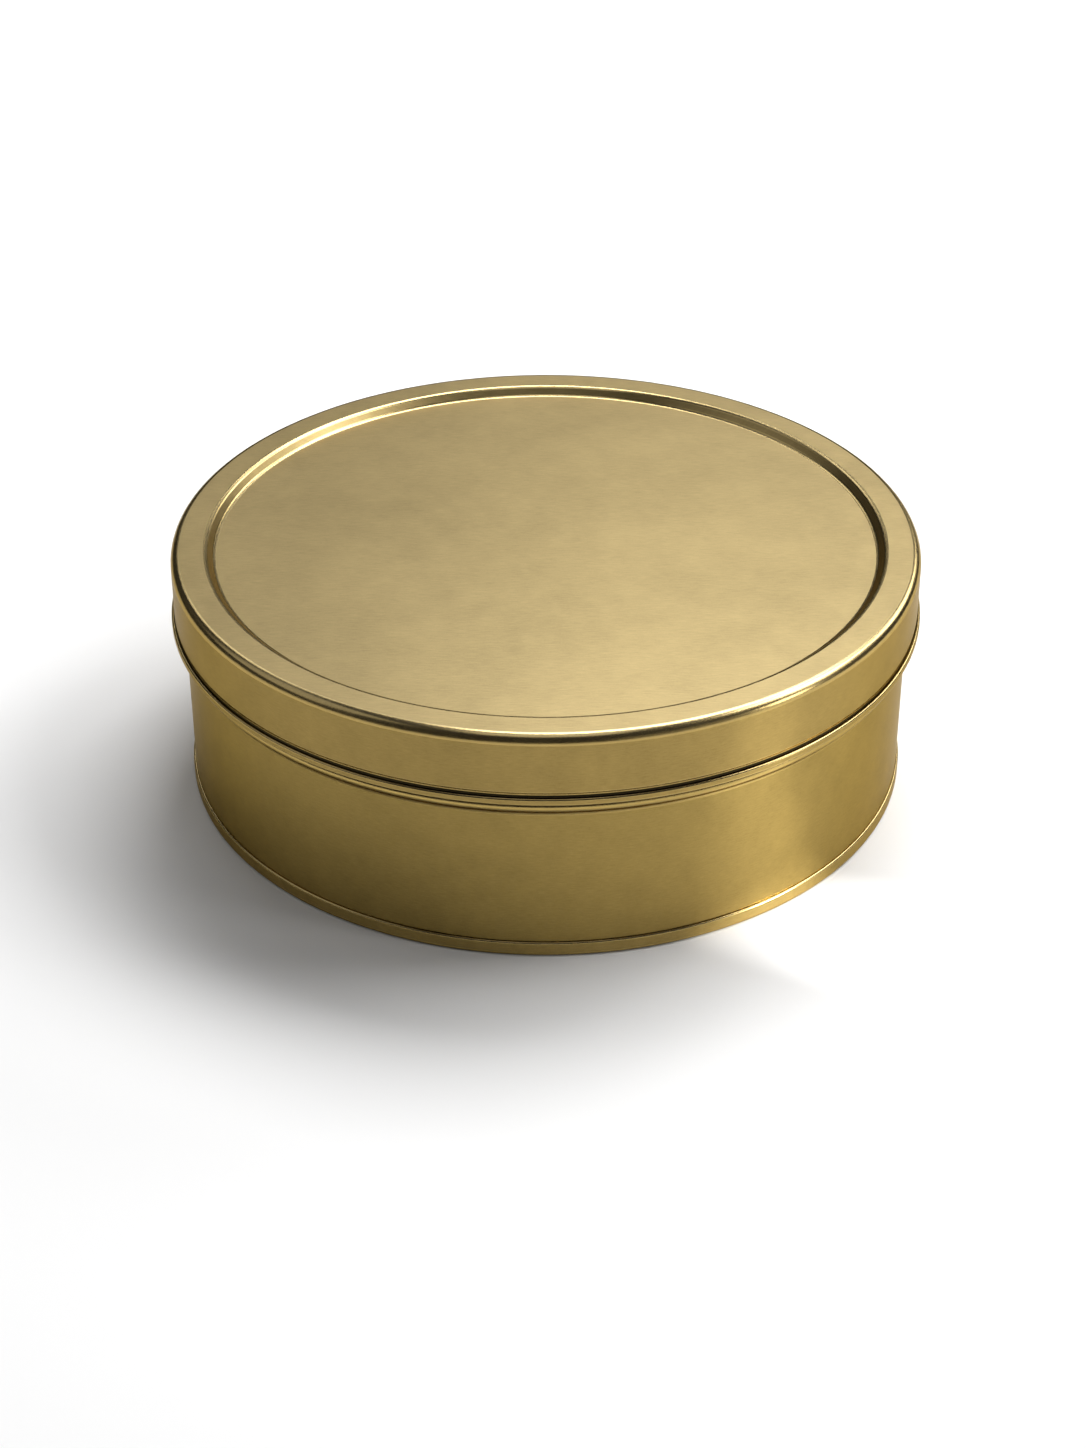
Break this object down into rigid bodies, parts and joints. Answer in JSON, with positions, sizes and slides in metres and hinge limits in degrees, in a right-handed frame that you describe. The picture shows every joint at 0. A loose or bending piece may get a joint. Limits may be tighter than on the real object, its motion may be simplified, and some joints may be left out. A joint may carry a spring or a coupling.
{
  "type": "cookie tin",
  "caption": "Plain round slip-lid cookie tin in gold-lacquered tinplate, with a recessed lid panel, a folded hem, a bead under the lid and a seamed base.",
  "frame": {"origin": "centre of the circle that the tin stands on, at the height of the table", "axes": "+Z is the tin's axis of turning and points up through the lid, which lifts along it. The tin is round, so +X and +Y are any two level directions at right angles"},
  "size_m": [0.1922, 0.1922, 0.0635],
  "materials": {
    "lid_lacquer": "gold lacquer over satin-brushed tinplate, soft sheen with a fine sideways grain",
    "body_lacquer": "gold lacquer over satin-brushed tinplate, soft sheen with a fine grain round the wall",
    "base_lacquer": "gold lacquer over satin tinplate"
  },
  "bodies": {
    "tin": {"body_wall": "body_lacquer", "base_end": "base_lacquer"},
    "lid": {"lid": "lid_lacquer"}
  },
  "joints": [
    {"name": "lid_lift", "type": "slide", "parent": "tin", "child": "lid", "axis": [0, 0, 1], "range_m": [0, 0.08]}
  ]
}
